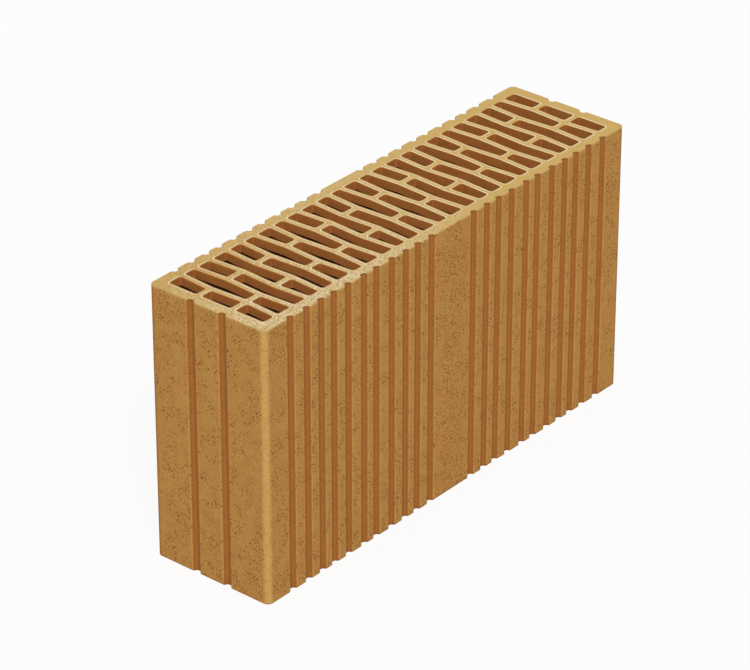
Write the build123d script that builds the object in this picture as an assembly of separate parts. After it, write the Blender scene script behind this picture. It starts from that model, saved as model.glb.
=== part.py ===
from build123d import *
import os

# Overall size of the fired block, in millimetres
length = 440.0
width = 115.0
height = 239.0
corner_radius = 5.0

# Solid walls of the section
end_wall = 11.2
long_shell = 10.75
web_thickness = 5.7
cross_web_thickness = 5.8

# Cells: columns follow one another along the length, in three rows across the width
column_count = 25
cross_web_spacing = 33.8
cell_corner_radius = 2.0

# Sway of the webs: how far each one leans aside where it meets a shell or a cross web,
# and the way it leans at the front shell, for the first half of every group of webs
web_sway = 1.0
sway_rule = (-1, 1, 1)

# Keying grooves: those of the long sides follow the webs a little closer together,
# and leave a plain panel where the middle webs are
groove_opening = 7.1
groove_floor = 4.0
groove_depth = 2.9
groove_closeness = 0.976
plain_webs = 2
end_groove_spacing = 31.6

half_length = length / 2
half_width = width / 2
web_count = column_count - 1
web_pitch = (length - 2 * end_wall + web_thickness) / column_count

# Lines across the width where a web changes its lean, from the front shell to the back one
node_lines = (
    -(half_width - long_shell),
    -cross_web_spacing / 2,
    cross_web_spacing / 2,
    half_width - long_shell,
)


def front_sway(web):
    """Way a web leans at the front shell: each half of a group mirrors the other half."""
    half_group, place = divmod(web, len(sway_rule))
    return sway_rule[place] if half_group % 2 == 0 else -sway_rule[-1 - place]


def web_station(web):
    """Mean place of a web along the length, counted from the left end."""
    return (web - (web_count - 1) / 2) * web_pitch


def web_face(web, node, side):
    """Face of a web on a node line, or of the end wall where there is no such web."""
    if web < 0:
        return end_wall - half_length
    if web >= web_count:
        return half_length - end_wall
    lean = front_sway(web) if node % 2 == 0 else -front_sway(web)
    return web_station(web) + lean * web_sway + side * web_thickness / 2


def web_face_at(web, y, side):
    """Face of a web anywhere across the width: it is straight from node to node."""
    node = max(index for index in range(len(node_lines) - 1) if node_lines[index] <= y)
    start, end = web_face(web, node, side), web_face(web, node + 1, side)
    share = (y - node_lines[node]) / (node_lines[node + 1] - node_lines[node])
    return start + share * (end - start)


def column_cells(column):
    """First and last row of each cell in a column: three short cells at the ends of the
    block, and between them a short and a long one, which change places in turn."""
    if column in (0, column_count - 1):
        return [(0, 0), (1, 1), (2, 2)]
    if column % 2 == 1:
        return [(0, 0), (1, 2)]
    return [(0, 1), (2, 2)]


def cell(column, first_row, last_row):
    """Cell between two webs, with rounded ends, over one row or two."""
    half_cross_web = cross_web_thickness / 2
    front = node_lines[first_row] + (half_cross_web if first_row > 0 else 0)
    back = node_lines[last_row + 1] - (half_cross_web if last_row < 2 else 0)
    stops = [front] + [y for y in node_lines if front < y < back] + [back]
    left = [(web_face_at(column - 1, y, 1), y) for y in stops]
    right = [(web_face_at(column, y, -1), y) for y in reversed(stops)]
    face = make_face(Polyline(*left, *right, close=True))
    ends = face.vertices().group_by(Axis.Y)
    return fillet(ends[0] + ends[-1], cell_corner_radius)


def groove():
    """Tapered groove cut into a face that runs along X, from the face inwards."""
    mouth, floor = groove_opening / 2, groove_floor / 2
    section = Polyline(
        (-mouth, 0), (-floor, groove_depth), (floor, groove_depth), (mouth, 0), close=True
    )
    return make_face(section)


def groove_places():
    """Place and turn of every groove: on the long sides, then on the ends."""
    first_plain = (web_count - plain_webs) // 2
    places = []
    for web in range(web_count):
        if first_plain <= web < first_plain + plain_webs:
            continue
        x = (web_station(web) + front_sway(web) * web_sway) * groove_closeness
        places += [(x, -half_width, 0), (x, half_width, 180)]
    for y in (-end_groove_spacing / 2, end_groove_spacing / 2):
        places += [(-half_length, y, -90), (half_length, y, 90)]
    return places


outline = RectangleRounded(length, width, corner_radius)
grooves = [Pos(x, y) * Rot(0, 0, turn) * groove() for x, y, turn in groove_places()]
cells = [cell(column, *rows) for column in range(column_count) for rows in column_cells(column)]

section = outline - grooves - cells
block = extrude(section, height)

os.makedirs("parts", exist_ok=True)
export_step(block, "parts/clay_block.step")
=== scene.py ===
import math

import bmesh
import bpy
from mathutils import Matrix, Vector, kdtree, noise


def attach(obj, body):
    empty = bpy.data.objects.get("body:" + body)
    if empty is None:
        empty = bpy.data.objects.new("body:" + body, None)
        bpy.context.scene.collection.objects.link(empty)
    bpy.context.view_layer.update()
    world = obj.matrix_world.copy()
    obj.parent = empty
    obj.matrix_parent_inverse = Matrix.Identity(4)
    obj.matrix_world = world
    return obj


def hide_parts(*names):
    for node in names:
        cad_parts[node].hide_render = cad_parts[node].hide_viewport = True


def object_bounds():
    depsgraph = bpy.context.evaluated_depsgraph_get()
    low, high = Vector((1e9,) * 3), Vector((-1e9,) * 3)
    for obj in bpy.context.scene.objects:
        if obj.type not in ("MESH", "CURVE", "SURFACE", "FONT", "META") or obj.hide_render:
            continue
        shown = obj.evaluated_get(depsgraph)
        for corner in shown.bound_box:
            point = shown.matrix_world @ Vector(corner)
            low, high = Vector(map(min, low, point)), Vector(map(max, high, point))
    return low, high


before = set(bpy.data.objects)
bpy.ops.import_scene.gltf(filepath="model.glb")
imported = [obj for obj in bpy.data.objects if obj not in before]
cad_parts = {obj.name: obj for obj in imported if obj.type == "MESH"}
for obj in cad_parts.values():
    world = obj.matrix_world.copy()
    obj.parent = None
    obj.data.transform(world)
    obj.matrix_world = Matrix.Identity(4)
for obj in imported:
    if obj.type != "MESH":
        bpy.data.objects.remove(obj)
cad_low, cad_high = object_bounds()

# The block's own sizes, in metres as all lengths here; the outline comes from the frame.
# Everything of a cell lies farther than the setback behind the outer faces.
HALF_LENGTH, HALF_WIDTH, HEIGHT = cad_high.x, cad_high.y, cad_high.z
GROOVE_DEPTH = 0.0029
CORNER_ROUNDING = 0.005
CELL_SETBACK = 0.006

# Roundings of the grooves, of the cells' mouths and of the outer arrises
LIP_ROUNDING = 0.0007
LIP_DEPTH = 0.0002
FLOOR_ROUNDING = 0.0012
MOUTH_ROUNDING = 0.0004
ARRIS_ROUNDING = 0.0006

# Relief of the beds: rims over the bed, burrs over the cells, and waves
RIM_RISE = 0.00012
BURR = 0.0004
WAVE_DEPTH = 0.0001
WAVES_PER_METRE, RIPPLES_PER_METRE, RIPPLE_SHARE = 420, 900, 0.6

# Cuts that carry the relief and the marks: steps along the edges of the mouths, bands
# below the beds, a frame round the beds, and borders round the cells and the lands
EDGE_STEP = 0.0025
MOUTH_BAND = 0.0025
BED_FRAME = 0.0055
RIM_STEPS = (0.0009, 0.0007)
STRIP_STEPS = (0.0005, 0.0009)

# What counts as the same place, as a fold, as a sharp edge, and as level, flat or
# tilted by the slope of a face's normal
TOUCH = 0.00004
MERGE = 1e-6
FOLD = math.radians(40)
SHARP = math.radians(50)
LEVEL = 0.98
FLAT = 0.9999
TILTED = 0.1
LEANING = 0.02

# Colours of the fired clay, as they look in plain light, and of the highlights, shade and
# shadow painted on it
FACE_TAN = (178, 129, 62)
# The next is a paler tan, also the painted highlight on one pair of corners and on the marked
# lips and arrises
FACE_PALE_AND_HIGHLIGHT = (195, 156, 84)
FACE_SHADE = (150, 96, 40)
# The next is the painted shade on the other pair of corners and along the foot
FACE_EDGE_SHADE = (150, 84, 26)
PIT_BROWN = (112, 50, 16)
GROOVE_RED = (168, 108, 46)
GROOVE_DARK = (140, 84, 34)
BED_GOLD = (215, 180, 107)
BED_SHADE = (186, 140, 72)
# The next is the painted glints and sheen of the bed
BED_GLINT = (248, 238, 208)
# The next is the painted highlight on the rims of the cells and on the front arris
RIM_HIGHLIGHT = (252, 240, 202)
# The next is the painted shade on the roundings of the cells' mouths, and the tan at the top
# of the cell walls
RIM_TAN = (180, 110, 30)
CELL_RED = (188, 120, 58)
CELL_SHADE = (158, 91, 41)
# The next is the painted shadow deep in the cells
CELL_SHADOW = (8, 3, 1)
WHITE = (255, 255, 255)
FLOOR_PALE = (244, 244, 244)

# Stretches over which a colour or a grain comes in, each from where it starts to where
# it is full: along the length and across the width of the bed
# The torn stretches set both how coarse the bed's relief is and how strong its painted glints
# are
TORN_ALONG, TORN_ACROSS = (0.090, -0.160), (0.045, -0.050)
BACK_TORN, BACK_CALM = (0.120, -0.040), (-0.060, -0.200)
ROUGH_ALONG = (0.150, -0.150)
DULL_ALONG, DULL_ACROSS = (-0.090, -0.200), (0.0, 0.050)

# On the outer faces: by the distance from the middle of the length, out to the corners,
# between the two pairs of corners, and up from the foot and to the head
PANEL = (0.013, 0.009)
CORNER = (-0.0066, -0.0022)
# PAIR parts the corners with a painted highlight from those with painted shade
PAIR = (-0.001, 0.001)
# FOOT sets where the painted shade at the foot comes in
FOOT = (0.0012, 0.0002)
HEAD = (HEIGHT - 0.0022, HEIGHT - 0.0005)

# By the depth behind the outer face in a groove, and below the bed in grooves and cells
# Where the painted shade at the mouth of a groove and on its floor comes in
GROOVE_MOUTH, GROOVE_FLOOR = (0.0021, 0.0007), (0.0024, 0.0029)
GROOVE_END = (0.0025, 0.0008)
# CELL_TOP sets where the cell walls are painted darker at the top and lighter lower down,
# against their shading
CELL_TOP, CELL_RIM = (0.0065, 0.0010), (0.0009, 0.0004)
# Depths below the bed where the painted shadow deep in the cells comes in, and how much deeper
# it starts towards one end
DARK = (0.0068, 0.0071)
SHADOW_SINK, SHADOW_SINK_ALONG = 0.0005, (-0.10, 0.20)

# Width of the patches of each pattern, and height of each finish's relief
FACE_CLOUD, FACE_CLUSTER, FACE_GRAIN, PIT_SPACING = 0.020, 0.012, 0.0012, 0.0016
GROOVE_CLOUD, GROOVE_GRAIN = 0.007, 0.0012
BED_CLOUD, BED_GRAIN = 0.012, 0.00075
CELL_CLOUD, CELL_GRAIN = 0.010, 0.0012
FACE_RELIEF, GROOVE_RELIEF, BED_RELIEF = 0.0003, 0.0002, 0.00025
RIM_RELIEF, CELL_RELIEF = 0.0001, 0.0002

# Gloss of the dry clay
CLAY_ROUGHNESS, RIM_ROUGHNESS, CLAY_SPECULAR = 0.85, 0.8, 0.25

# How strong the painted highlight is on the strip either side of a groove, on the lip that
# turns towards a corner with the painted highlight and on the other lip
LIP_HIGHLIGHT_LIT, LIP_HIGHLIGHT_DIM = 0.45, 0.15

# Turn of the patterns that are drawn out down a slant of the faces, or along the bed
SLANT = (0, math.atan(math.sqrt(0.5)), math.radians(-45))
WIRE_WAY = (0, 0, math.radians(24))


def linear(colour):
    """A colour of 0 to 255 steps as the linear values that a shader takes."""
    parts = [step / 255 for step in colour]
    return [p / 12.92 if p <= 0.04045 else ((p + 0.055) / 1.055) ** 2.4 for p in parts] + [1.0]


# Shader expressions


class Value:
    """A number that varies over the surface, for use in plain sums."""

    def __init__(self, nodes, socket):
        self.nodes = nodes
        self.socket = socket

    def maths(self, operation, *numbers):
        node = self.nodes.node("Math", dict(enumerate(numbers)), operation=operation)
        return Value(self.nodes, node.outputs[0])

    def __add__(self, other):
        return self.maths("ADD", self, other)

    def __radd__(self, other):
        return self.maths("ADD", other, self)

    def __sub__(self, other):
        return self.maths("SUBTRACT", self, other)

    def __rsub__(self, other):
        return self.maths("SUBTRACT", other, self)

    def __mul__(self, other):
        return self.maths("MULTIPLY", self, other)

    def __rmul__(self, other):
        return self.maths("MULTIPLY", other, self)

    def __abs__(self):
        return self.maths("ABSOLUTE", self)

    def least(self, other):
        return self.maths("MINIMUM", self, other)

    def most(self, other):
        return self.maths("MAXIMUM", self, other)

    def ramp(self, low, high, shape="SMOOTHSTEP"):
        """0 at low and 1 at high, whichever of them is the larger, and level beyond."""
        node = self.nodes.node(
            "MapRange",
            {"Value": self, "From Min": low, "From Max": high},
            interpolation_type=shape,
        )
        return Value(self.nodes, node.outputs["Result"])


class Nodes:
    """The nodes of a material or of the surroundings, made one call each."""

    def __init__(self, tree):
        self.tree = tree
        self.tree.nodes.clear()

    def fill(self, socket, given):
        if isinstance(given, Value):
            given = given.socket
        if isinstance(given, bpy.types.NodeSocket):
            self.tree.links.new(given, socket)
        else:
            socket.default_value = given

    def node(self, kind, sockets=None, **settings):
        made = self.tree.nodes.new("ShaderNode" + kind)
        for key, setting in settings.items():
            setattr(made, key, setting)
        for key, given in (sockets or {}).items():
            self.fill(made.inputs[key], given)
        return made

    def background_share(self):
        """1 for the rays that see the background itself, and 0 for those that light."""
        path = self.node("LightPath").outputs
        kinds = ("Is Camera Ray", "Is Glossy Ray", "Is Transmission Ray")
        camera, glossy, through = (Value(self, path[kind]) for kind in kinds)
        return camera.most(glossy).most(through)


class Clay(Nodes):
    """A finish of the fired clay under construction, with the patterns they share."""

    def __init__(self, name):
        self.material = bpy.data.materials.new(name)
        self.material.use_nodes = True
        super().__init__(self.material.node_tree)
        self.place = self.node("TexCoord").outputs["Object"]
        split = self.node("SeparateXYZ", {0: self.place})
        self.x, self.y, self.z = (Value(self, axis) for axis in split.outputs)

    def behind_face(self):
        """How far the surface lies behind the nearest outer face."""
        return (HALF_LENGTH - abs(self.x)).least(HALF_WIDTH - abs(self.y))

    def below_bed(self):
        """How far the surface lies from the nearer bed."""
        return HEIGHT / 2 - abs(self.z - HEIGHT / 2)

    def glint_and_relief_share(self):
        """1 where the wire tore the bed most and its painted glints are strongest, by the
        front of one end, less behind it, and 0 at the other end."""
        front = self.y.ramp(*TORN_ACROSS, "LINEAR")
        torn = self.x.ramp(*TORN_ALONG)
        behind = self.x.ramp(*BACK_TORN) * (1 - self.x.ramp(*BACK_CALM) * 0.6)
        return torn * front + behind * (1 - front) * 0.3

    def marked(self, name):
        """A share set on the body's points."""
        return Value(self, self.node("Attribute", attribute_name=name).outputs["Fac"])

    def moved(self, offset, drag, turn):
        """Place on the block for a pattern, moved, and drawn out in one direction."""
        sockets = {
            "Vector": self.place,
            "Location": offset,
            "Scale": (drag, 1, 1),
            "Rotation": turn,
        }
        return self.node("Mapping", sockets, vector_type="TEXTURE").outputs[0]

    def noise(self, grain, detail=2.0, distortion=0.0, offset=(0, 0, 0), drag=1.0, turn=SLANT):
        """Cloudy pattern whose patches are about as wide as the grain, in metres."""
        sockets = {
            "Vector": self.moved(offset, drag, turn),
            "Scale": 1 / grain,
            "Detail": detail,
            "Distortion": distortion,
        }
        return Value(self, self.node("TexNoise", sockets).outputs[0])

    def specks(self, spacing, offset, drag):
        """Distance to the nearest of many scattered points, in units of their spacing,
        and a number that each point has for itself."""
        sockets = {"Vector": self.moved(offset, drag, SLANT), "Scale": 1 / spacing}
        node = self.node("TexVoronoi", sockets)
        own = self.node("SeparateColor", {0: node.outputs["Color"]})
        return Value(self, node.outputs["Distance"]), Value(self, own.outputs[0])

    def blend(self, share, first, second):
        """First colour, turning into the second as the share goes from 0 to 1."""
        node = self.node("Mix", data_type="RGBA", blend_type="MIX")
        inputs = [s for s in node.inputs if s.enabled]
        for socket, given in zip(inputs, (share, first, second)):
            self.fill(socket, linear(given) if isinstance(given, tuple) else given)
        return [s for s in node.outputs if s.enabled][0]

    def fired(self, colour, relief, depth, roughness=CLAY_ROUGHNESS):
        """Dry matt clay of that colour; the relief is 0 to 1 and the depth in metres."""
        bump = self.node("Bump", {"Height": relief, "Distance": depth})
        shader = self.node(
            "BsdfPrincipled",
            {"Base Color": colour, "Roughness": roughness, "Normal": bump.outputs[0]},
        )
        shader.inputs["Specular IOR Level"].default_value = CLAY_SPECULAR
        self.node("OutputMaterial", {"Surface": shader.outputs[0]})
        return self.material


def speckled_face():
    """Drawn outer face: tan, with clusters of small dark pits, paler at the head, with a
    painted highlight on one pair of corners and where the points are marked, and painted
    shade, browner, at the foot and at the other pair of corners."""
    clay = Clay("speckled_face")
    cloud = clay.noise(FACE_CLOUD, 3.0)
    grain = clay.noise(FACE_GRAIN, 1.0, 0.8, drag=1.9)
    panel = abs(clay.x).ramp(*PANEL)
    cluster = clay.noise(FACE_CLUSTER, 2.0, offset=(0.7, 0.2, 0.5)).ramp(0.38, 0.58)
    cluster = cluster.most(panel)
    corner = (abs(clay.x) - HALF_LENGTH).least(abs(clay.y) - HALF_WIDTH)
    corner = corner.ramp(*CORNER)
    lit_pair = (clay.x * clay.y).ramp(*PAIR)
    foot_shade = clay.z.ramp(*FOOT)
    head = clay.z.ramp(*HEAD)
    distance, own = clay.specks(PIT_SPACING, (0.1, 0.4, 0.3), 1.3)
    pits = distance.ramp(0.50, 0.26) * own.ramp(0.48, 0.80) * (cluster * 0.88 + 0.08)
    pits = pits * (1 - corner * 0.8)
    tone = clay.blend(cloud.ramp(0.35, 0.65) * 0.14, FACE_TAN, FACE_PALE_AND_HIGHLIGHT)
    # Painted highlight on the pair of corners that face the lit side
    tone = clay.blend(corner * lit_pair * 0.95, tone, FACE_PALE_AND_HIGHLIGHT)
    fine = grain.ramp(0.48, 0.64) * (cluster * 0.35 + 0.40) * (1 - corner * 0.6)
    tone = clay.blend(fine, tone, FACE_SHADE)
    # Painted shade on the other pair of corners
    tone = clay.blend(corner * (1 - lit_pair) * 0.6, tone, FACE_EDGE_SHADE)
    tone = clay.blend(head * 0.6, tone, FACE_PALE_AND_HIGHLIGHT)
    # Painted highlight where the points are marked: beside the grooves' lips and on the front
    # arris
    tone = clay.blend(clay.marked("painted_highlight"), tone, FACE_PALE_AND_HIGHLIGHT)
    tone = clay.blend(pits, tone, PIT_BROWN)
    # Painted shade along the foot of the faces
    tone = clay.blend(foot_shade * 0.8, tone, FACE_EDGE_SHADE)
    relief = grain * 0.3 + (1 - pits) * 0.12
    return clay.fired(tone, relief, FACE_RELIEF)


def groove_skin():
    """Walls and floor of a groove: redder and smoother than the face, with painted shade at
    its mouth and at its bottom, and darker by the beds."""
    clay = Clay("groove_skin")
    cloud = clay.noise(GROOVE_CLOUD, 3.0, offset=(0.2, 0.6, 0.1))
    grain = clay.noise(GROOVE_GRAIN, 2.0)
    deep = clay.behind_face()
    tone = clay.blend(cloud.ramp(0.4, 0.7) * 0.25, GROOVE_RED, GROOVE_DARK)
    tone = clay.blend(grain.ramp(0.5, 0.75) * 0.2, tone, GROOVE_DARK)
    # Painted shade at the mouth of the groove and on its floor
    tone = clay.blend(deep.ramp(*GROOVE_MOUTH) * 0.3, tone, GROOVE_DARK)
    tone = clay.blend(deep.ramp(*GROOVE_FLOOR) * 0.45, tone, GROOVE_DARK)
    tone = clay.blend(clay.below_bed().ramp(*GROOVE_END) * 0.6, tone, GROOVE_DARK)
    return clay.fired(tone, grain, GROOVE_RELIEF)


def torn_clay(clay):
    """Colour and relief of the cut clay: gold, with a grain that the wire tore and that is
    coarser towards one end, where it carries painted glints and painted sheen, and with a
    painted highlight along the rims and painted shade on their roundings."""
    glint_and_relief = clay.glint_and_relief_share()
    fine = clay.noise(BED_GRAIN, 1.0, 0.3, (0.5, 0.3, 0.9), 2.4, WIRE_WAY)
    cloud = clay.noise(BED_CLOUD, 2.0, offset=(0.1, 0.9, 0.4))
    dull = clay.x.ramp(*DULL_ALONG) * clay.y.ramp(*DULL_ACROSS) * 0.2
    tone = clay.blend(cloud.ramp(0.35, 0.65) * 0.12 + dull, BED_GOLD, BED_SHADE)
    rough = clay.x.ramp(*ROUGH_ALONG)
    tone = clay.blend(fine.ramp(0.5, 0.36) * (rough * 0.5 + 0.12), tone, BED_SHADE)
    # Painted highlight on the rims of the cells and on the front arris
    tone = clay.blend(clay.marked("painted_highlight"), tone, RIM_HIGHLIGHT)
    # Painted sheen and painted glints, strongest where the relief is coarsest
    tone = clay.blend(glint_and_relief * 0.08, tone, BED_GLINT)
    tone = clay.blend(fine.ramp(0.47, 0.62) * glint_and_relief * 0.66, tone, BED_GLINT)
    # Painted shade on the roundings of the cells' mouths
    tone = clay.blend(clay.marked("painted_shade"), tone, RIM_TAN)
    return tone, fine * (glint_and_relief * 0.9 + 0.1)


def cut_bed():
    """Wire-cut bed."""
    clay = Clay("cut_bed")
    tone, relief = torn_clay(clay)
    return clay.fired(tone, relief, BED_RELIEF)


def mouth_rim():
    """Rounded rim of a cell: cut clay like the bed, with a lower relief."""
    clay = Clay("mouth_rim")
    tone, relief = torn_clay(clay)
    return clay.fired(tone, relief, RIM_RELIEF, RIM_ROUGHNESS)


def cell_wall():
    """Inside of a cell: red-brown clay, painted darker at the top and lighter lower down
    against its shading, with a painted shadow from a little way down, and farther down
    towards one end."""
    clay = Clay("cell_wall")
    grain = clay.noise(CELL_GRAIN, 2.0)
    cloud = clay.noise(CELL_CLOUD, 2.0)
    below = clay.below_bed()
    # Painted shadow deep in the cell, which starts deeper towards one end
    painted_shadow = (below - clay.x.ramp(*SHADOW_SINK_ALONG) * SHADOW_SINK).ramp(*DARK)
    # Painted light: darker at the top and lighter lower down, against the wall's shading, with
    # random clouds
    shade = cloud.ramp(0.35, 0.65) * 0.2 + below.ramp(*CELL_TOP, "LINEAR") * 0.4
    tone = clay.blend(shade, CELL_RED, CELL_SHADE)
    tone = clay.blend(grain.ramp(0.45, 0.7) * 0.35, tone, CELL_SHADE)
    tone = clay.blend(below.ramp(*CELL_RIM) * 0.5, tone, RIM_TAN)
    tone = clay.blend(painted_shadow, tone, CELL_SHADOW)
    return clay.fired(tone, grain, CELL_RELIEF)


# The finishes in the order of their numbers on the block's faces
FINISHES = (speckled_face, groove_skin, cut_bed, mouth_rim, cell_wall)
FACE, GROOVE, BED, RIM, WALL = range(len(FINISHES))


# The fired body


def near(value, target):
    """True of two lengths that are the same but for rounding."""
    return abs(value - target) < TOUCH


def upright(edge):
    return (edge.verts[0].co - edge.verts[1].co).to_2d().length < TOUCH


def level(edge):
    return abs(edge.verts[0].co.z - edge.verts[1].co.z) < TOUCH


def below_bed(point):
    """How far a point lies from the nearer bed."""
    return min(point.z, HEIGHT - point.z)


def inwards(point):
    """The way along Z from the nearer bed into the block."""
    return 1 if point.z < HEIGHT / 2 else -1


def depth_in_face(point):
    """How far a point lies behind the nearest outer face."""
    return min(HALF_LENGTH - abs(point.x), HALF_WIDTH - abs(point.y))


def in_cell(point):
    return depth_in_face(point) > CELL_SETBACK


def folded(edge):
    return len(edge.link_faces) == 2 and edge.calc_face_angle() > FOLD


def bevel(body, edges, width, segments):
    bmesh.ops.bevel(
        body,
        geom=edges,
        offset=width,
        offset_type="OFFSET",
        segments=segments,
        profile=0.5,
        affect="EDGES",
        material=-1,
        clamp_overlap=True,
    )


def groove_folds(body, depth):
    """Upright edges of the grooves at that depth behind the face."""
    folds = [e for e in body.edges if upright(e) and folded(e)]
    return [e for e in folds if near(depth_in_face(e.verts[0].co), depth)]


def mouth_edges(body, of_cells):
    """Edges where a bed meets the walls of the cells, or else the outside."""
    found = []
    for edge in body.edges:
        point = edge.verts[0].co
        wanted = below_bed(point) < TOUCH and in_cell(point) == of_cells
        if wanted and level(edge) and folded(edge):
            found.append(edge)
    return found


def divide(body, edges):
    """Cuts long edges into even steps."""
    by_cuts = {}
    for edge in edges:
        cuts = int(edge.calc_length() / EDGE_STEP)
        by_cuts.setdefault(cuts, []).append(edge)
    for cuts, group in sorted(by_cuts.items()):
        if cuts > 0:
            bmesh.ops.subdivide_edges(body, edges=group, cuts=cuts)


def on_bed(face):
    return abs(face.normal.z) > LEVEL


def on_land(face):
    """Flat strips of the outer faces between the grooves."""
    flat = max(abs(face.normal.x), abs(face.normal.y)) > FLAT
    return flat and depth_in_face(face.calc_center_median()) < TOUCH


def inner_bed(face):
    """Parts of the beds well within their outline."""
    return on_bed(face) and depth_in_face(face.calc_center_median()) > BED_FRAME


def cut_frame(body):
    """Parts a frame along the outline of both beds from the rest of them."""
    for side in (-1, 1):
        for reach, way in ((HALF_LENGTH, (side, 0, 0)), (HALF_WIDTH, (0, side, 0))):
            beds = [f for f in body.faces if on_bed(f)]
            around = {e for f in beds for e in f.edges} | {v for f in beds for v in f.verts}
            bmesh.ops.bisect_plane(
                body,
                geom=list(around) + beds,
                plane_co=Vector(way) * (reach - BED_FRAME),
                plane_no=way,
            )


def border(body, faces, widths):
    """Adds borders of those widths inside the outline of the faces, one in another."""
    for width in widths:
        bmesh.ops.inset_region(
            body, faces=faces, thickness=width, use_boundary=True, use_even_offset=True
        )


def near_square(facing):
    """True of a way that is square to an outer face."""
    return abs(abs(facing.x + facing.y) - 1) <= 0.01


def rounding_starts(body):
    """Places where the rounding of a cell's rim starts, and that of a groove's lip,
    each with the way it faces."""
    body.normal_update()
    rims, lips = [], []
    for vert in body.verts:
        point, facing = vert.co.copy(), vert.normal.to_2d()
        if facing.length < LEANING:
            continue
        facing.normalize()
        from_corner = max(HALF_LENGTH - abs(point.x), HALF_WIDTH - abs(point.y))
        if in_cell(point):
            if below_bed(point) < TOUCH:
                rims.append((point, facing))
        elif near(depth_in_face(point), 0) and from_corner > CORNER_ROUNDING + TOUCH:
            if not near_square(facing):
                lips.append((point, facing))
    return rims, lips


def finder(starts):
    """Gives the way that the nearest start faces, and its distance."""
    tree = kdtree.KDTree(len(starts))
    for index, (point, facing) in enumerate(starts):
        tree.insert(point, index)
    tree.balance()

    def find(point):
        place, index, distance = tree.find(point)
        return starts[index][1], distance

    return find


def rim_painted_highlight(facing, along):
    """How strong the painted highlight on the rim of a cell is where it faces that way:
    along is 0 at one end of the block and 1 at the other. The sides and the ends of a
    cell change differently, and the bend between two of them gets more of it still by
    the first end."""
    sides = 0.6 + 0.15 * along if facing.x > 0 else min(1.0, max(0.0, 2.4 * along - 0.3))
    ends = 0.95 - 0.95 * along if facing.y < 0 else 0.05 + 0.9 * along
    bend = -2 * facing.x * facing.y if facing.y < 0 else 0
    pale = sides * facing.x**2 + ends * facing.y**2 + 0.6 * (1 - along) * max(0.0, bend)
    return min(1.0, pale)


def rim_painted_shade(facing, along, below):
    """How much painted shade, in tan, the rounding of a cell has, from its rim down to its
    wall.
    """
    start = 0.6 - 0.45 * along if facing.x + facing.y < 0 else 0.6
    return min(1.0, start + 3 * below / MOUTH_ROUNDING)


def mark_edges(body, rims, lips):
    """Marks each point's painted highlight and painted shade: the painted highlight on the
    rims of the cells, on the front arris near one end and on both sides of each groove,
    and the painted shade on the roundings of the cells' mouths."""
    body.normal_update()
    pale = body.verts.layers.float.new("painted_highlight")
    brown = body.verts.layers.float.new("painted_shade")
    rim, lip = finder(rims), finder(lips)
    for vert in body.verts:
        point = vert.co
        along = (point.x + HALF_LENGTH) / (2 * HALF_LENGTH)
        below = below_bed(point)
        if in_cell(point) and below < MOUTH_ROUNDING + TOUCH:
            facing, distance = rim(point)
            # Painted shade and half the painted highlight on the rounding; the full painted
            # highlight on the border round the mouth
            if below > TOUCH or distance < TOUCH:
                vert[brown] = rim_painted_shade(facing, along, below)
                vert[pale] = 0.5 * rim_painted_highlight(facing, along)
            elif distance < 1.4 * RIM_STEPS[0]:
                vert[pale] = rim_painted_highlight(facing, along)
        # Painted highlight on the front arrises, fading out towards the other end
        elif TOUCH < below < ARRIS_ROUNDING - TOUCH:
            if vert.normal.y < -LEANING:
                vert[pale] = max(0.0, 1 - 2 * along)
        # Painted highlight on the strips beside the grooves
        elif near(depth_in_face(point), 0) and below > TOUCH:
            facing, distance = lip(point)
            if distance < 1.5 * STRIP_STEPS[0]:
                vert[pale] = LIP_HIGHLIGHT_LIT if abs(facing.x + facing.y) > 1 else LIP_HIGHLIGHT_DIM


def raise_burrs(body, rims):
    """Lets the rims stand out a little over the cells where the wire left each cell."""
    rim = finder(rims)
    for vert in body.verts:
        if TOUCH < below_bed(vert.co) < MOUTH_ROUNDING - TOUCH and in_cell(vert.co):
            facing, distance = rim(vert.co)
            out = BURR * min(1.0, max(0.0, facing.x + 0.5 * facing.y))
            vert.co.x += out * facing.x
            vert.co.y += out * facing.y


def sink_bed(body):
    """Lets the beds lie a little lower than the rims round them."""
    inner = {v for f in body.faces if on_bed(f) for v in f.verts}
    for vert in inner:
        if all(on_bed(face) for face in vert.link_faces):
            vert.co.z += inwards(vert.co) * RIM_RISE


def roughen(body):
    """Small waves of the beds and mouths, always inwards of the drawn sizes."""
    for vert in body.verts:
        if below_bed(vert.co) <= MOUTH_BAND / 2:
            wave = noise.noise(vert.co * WAVES_PER_METRE)
            wave += RIPPLE_SHARE * noise.noise(vert.co * RIPPLES_PER_METRE)
            vert.co.z += inwards(vert.co) * WAVE_DEPTH * max(0.0, wave)


def finish_of(face):
    """Number of the finish of a face."""
    middle = face.calc_center_median()
    tilt = abs(face.normal.z)
    if tilt > LEVEL:
        return BED
    if in_cell(middle):
        return RIM if tilt > TILTED else WALL
    if tilt > TILTED:
        return BED if middle.z > HEIGHT / 2 else FACE
    past_length = abs(middle.x) > HALF_LENGTH - CORNER_ROUNDING
    past_width = abs(middle.y) > HALF_WIDTH - CORNER_ROUNDING
    if depth_in_face(middle) > LIP_DEPTH and not (past_length and past_width):
        return GROOVE
    return FACE


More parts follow.
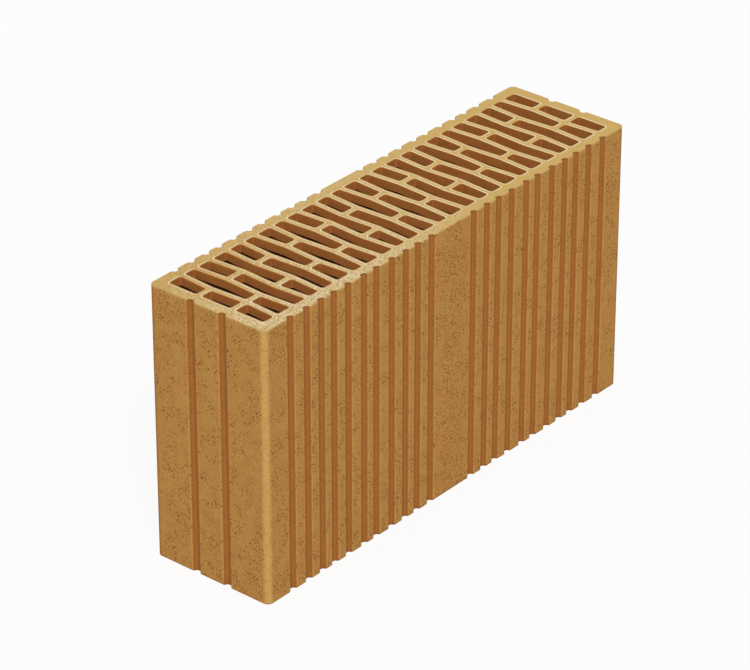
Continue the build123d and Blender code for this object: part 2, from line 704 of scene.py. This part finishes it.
def fired_block():
    """The whole block: the drawn body with its arrises, lips and mouths rounded."""
    body = bmesh.new()
    body.from_mesh(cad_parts["clay_block"].data)
    bmesh.ops.remove_doubles(body, verts=body.verts, dist=MERGE)
    slanted = [e for e in body.edges if not upright(e) and not level(e)]
    bmesh.ops.dissolve_edges(body, edges=slanted, use_verts=False)

    bevel(body, groove_folds(body, 0), LIP_ROUNDING, segments=4)
    bevel(body, groove_folds(body, GROOVE_DEPTH), FLOOR_ROUNDING, segments=4)
    for height in (MOUTH_BAND, HEIGHT - MOUTH_BAND):
        bmesh.ops.bisect_plane(
            body,
            geom=body.verts[:] + body.edges[:] + body.faces[:],
            plane_co=(0, 0, height),
            plane_no=(0, 0, 1),
        )
    divide(body, mouth_edges(body, of_cells=True) + mouth_edges(body, of_cells=False))
    bevel(body, mouth_edges(body, of_cells=True), MOUTH_ROUNDING, segments=2)
    bevel(body, mouth_edges(body, of_cells=False), ARRIS_ROUNDING, segments=3)
    rims, lips = rounding_starts(body)
    border(body, [f for f in body.faces if on_land(f)], STRIP_STEPS)
    cut_frame(body)
    border(body, [f for f in body.faces if inner_bed(f)], RIM_STEPS)
    mark_edges(body, rims, lips)
    raise_burrs(body, rims)
    sink_bed(body)
    roughen(body)

    for face in body.faces:
        face.smooth = True
        face.material_index = finish_of(face)
    mesh = bpy.data.meshes.new("fired_block")
    body.to_mesh(mesh)
    body.free()
    for finish in FINISHES:
        mesh.materials.append(finish())
    mesh.set_sharp_from_angle(angle=SHARP)
    block = bpy.data.objects.new("fired_block", mesh)
    bpy.context.scene.collection.objects.link(block)
    weighted = block.modifiers.new("even_shading", "WEIGHTED_NORMAL")
    weighted.keep_sharp = True
    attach(block, "root")
    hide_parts("clay_block")


# Studio

# The camera of the photograph: its direction, distance and lens, and how far
# the block's foot lies to the right of and below the middle of the picture
CAMERA_AZIMUTH, CAMERA_ELEVATION = -50.19, 29.52
CAMERA_DISTANCE, CAMERA_LENS = 3.1799, 189.49
FOOT_RIGHT, FOOT_UP = 0.01587, -0.10458
CAMERA_SENSOR, CAMERA_REACH = 36.0, 50.0

# Light from all sides, and the floor with the share of it that the camera sees white
AMBIENT = 0.55
FLOOR_REACH = 12.0
WHITE_FLOOR_SHARE = 0.9


def floor():
    """Pale floor that shows white to the camera but keeps the block's shadow."""
    mesh = bpy.data.meshes.new("floor")
    sheet = bmesh.new()
    bmesh.ops.create_grid(sheet, x_segments=1, y_segments=1, size=FLOOR_REACH)
    sheet.to_mesh(mesh)
    sheet.free()
    material = bpy.data.materials.new("pale_floor")
    material.use_nodes = True
    pale = Nodes(material.node_tree)
    matt = pale.node("BsdfDiffuse", {"Color": linear(FLOOR_PALE)})
    white = pale.node("Emission", {"Color": linear(WHITE), "Strength": 1.0})
    share = pale.background_share() * WHITE_FLOOR_SHARE
    mixed = pale.node("MixShader", {0: share, 1: matt.outputs[0], 2: white.outputs[0]})
    pale.node("OutputMaterial", {"Surface": mixed.outputs[0]})
    mesh.materials.append(material)
    plane = bpy.data.objects.new("floor", mesh)
    bpy.context.scene.collection.objects.link(plane)


def surroundings():
    """Even light from all sides, with plain white where they are seen."""
    world = bpy.data.worlds.new("studio")
    bpy.context.scene.world = world
    world.use_nodes = True
    studio = Nodes(world.node_tree)
    white = linear(WHITE)
    light = studio.node("Background", {"Color": white, "Strength": AMBIENT})
    shown = studio.node("Background", {"Color": white, "Strength": 1.0})
    share = studio.background_share()
    mixed = studio.node("MixShader", {0: share, 1: light.outputs[0], 2: shown.outputs[0]})
    studio.node("OutputWorld", {"Surface": mixed.outputs[0]})


def lamp(name, azimuth, elevation, strength, softness):
    """Distant soft lamp that shines from the given side, in degrees as the camera's."""
    light = bpy.data.lights.new(name, "SUN")
    light.energy = strength
    light.angle = math.radians(softness)
    holder = bpy.data.objects.new(name, light)
    turn, rise = math.radians(azimuth), math.radians(elevation)
    towards = Vector((math.sin(turn), -math.cos(turn), math.tan(rise)))
    holder.rotation_euler = towards.to_track_quat("Z", "Y").to_euler()
    bpy.context.scene.collection.objects.link(holder)


def camera():
    """The camera, aimed so that the block's foot lies where the photograph has it."""
    turn, rise = math.radians(CAMERA_AZIMUTH), math.radians(CAMERA_ELEVATION)
    right = Vector((math.cos(turn), math.sin(turn), 0))
    level_back = Vector((math.sin(turn), -math.cos(turn), 0))
    back = level_back * math.cos(rise) + Vector((0, 0, math.sin(rise)))
    up = back.cross(right)
    aim = -FOOT_RIGHT * right - FOOT_UP * up
    lens = bpy.data.cameras.new("camera")
    lens.sensor_width = CAMERA_SENSOR
    lens.lens = CAMERA_LENS
    lens.clip_end = CAMERA_REACH
    holder = bpy.data.objects.new("camera", lens)
    axes = Matrix((right, up, back)).transposed()
    holder.matrix_world = Matrix.Translation(aim + CAMERA_DISTANCE * back) @ axes.to_4x4()
    bpy.context.scene.collection.objects.link(holder)
    bpy.context.scene.camera = holder


fired_block()
floor()
surroundings()
lamp("key", azimuth=-45, elevation=42, strength=1.6, softness=25)
camera()
bpy.context.scene.view_settings.view_transform = "Standard"
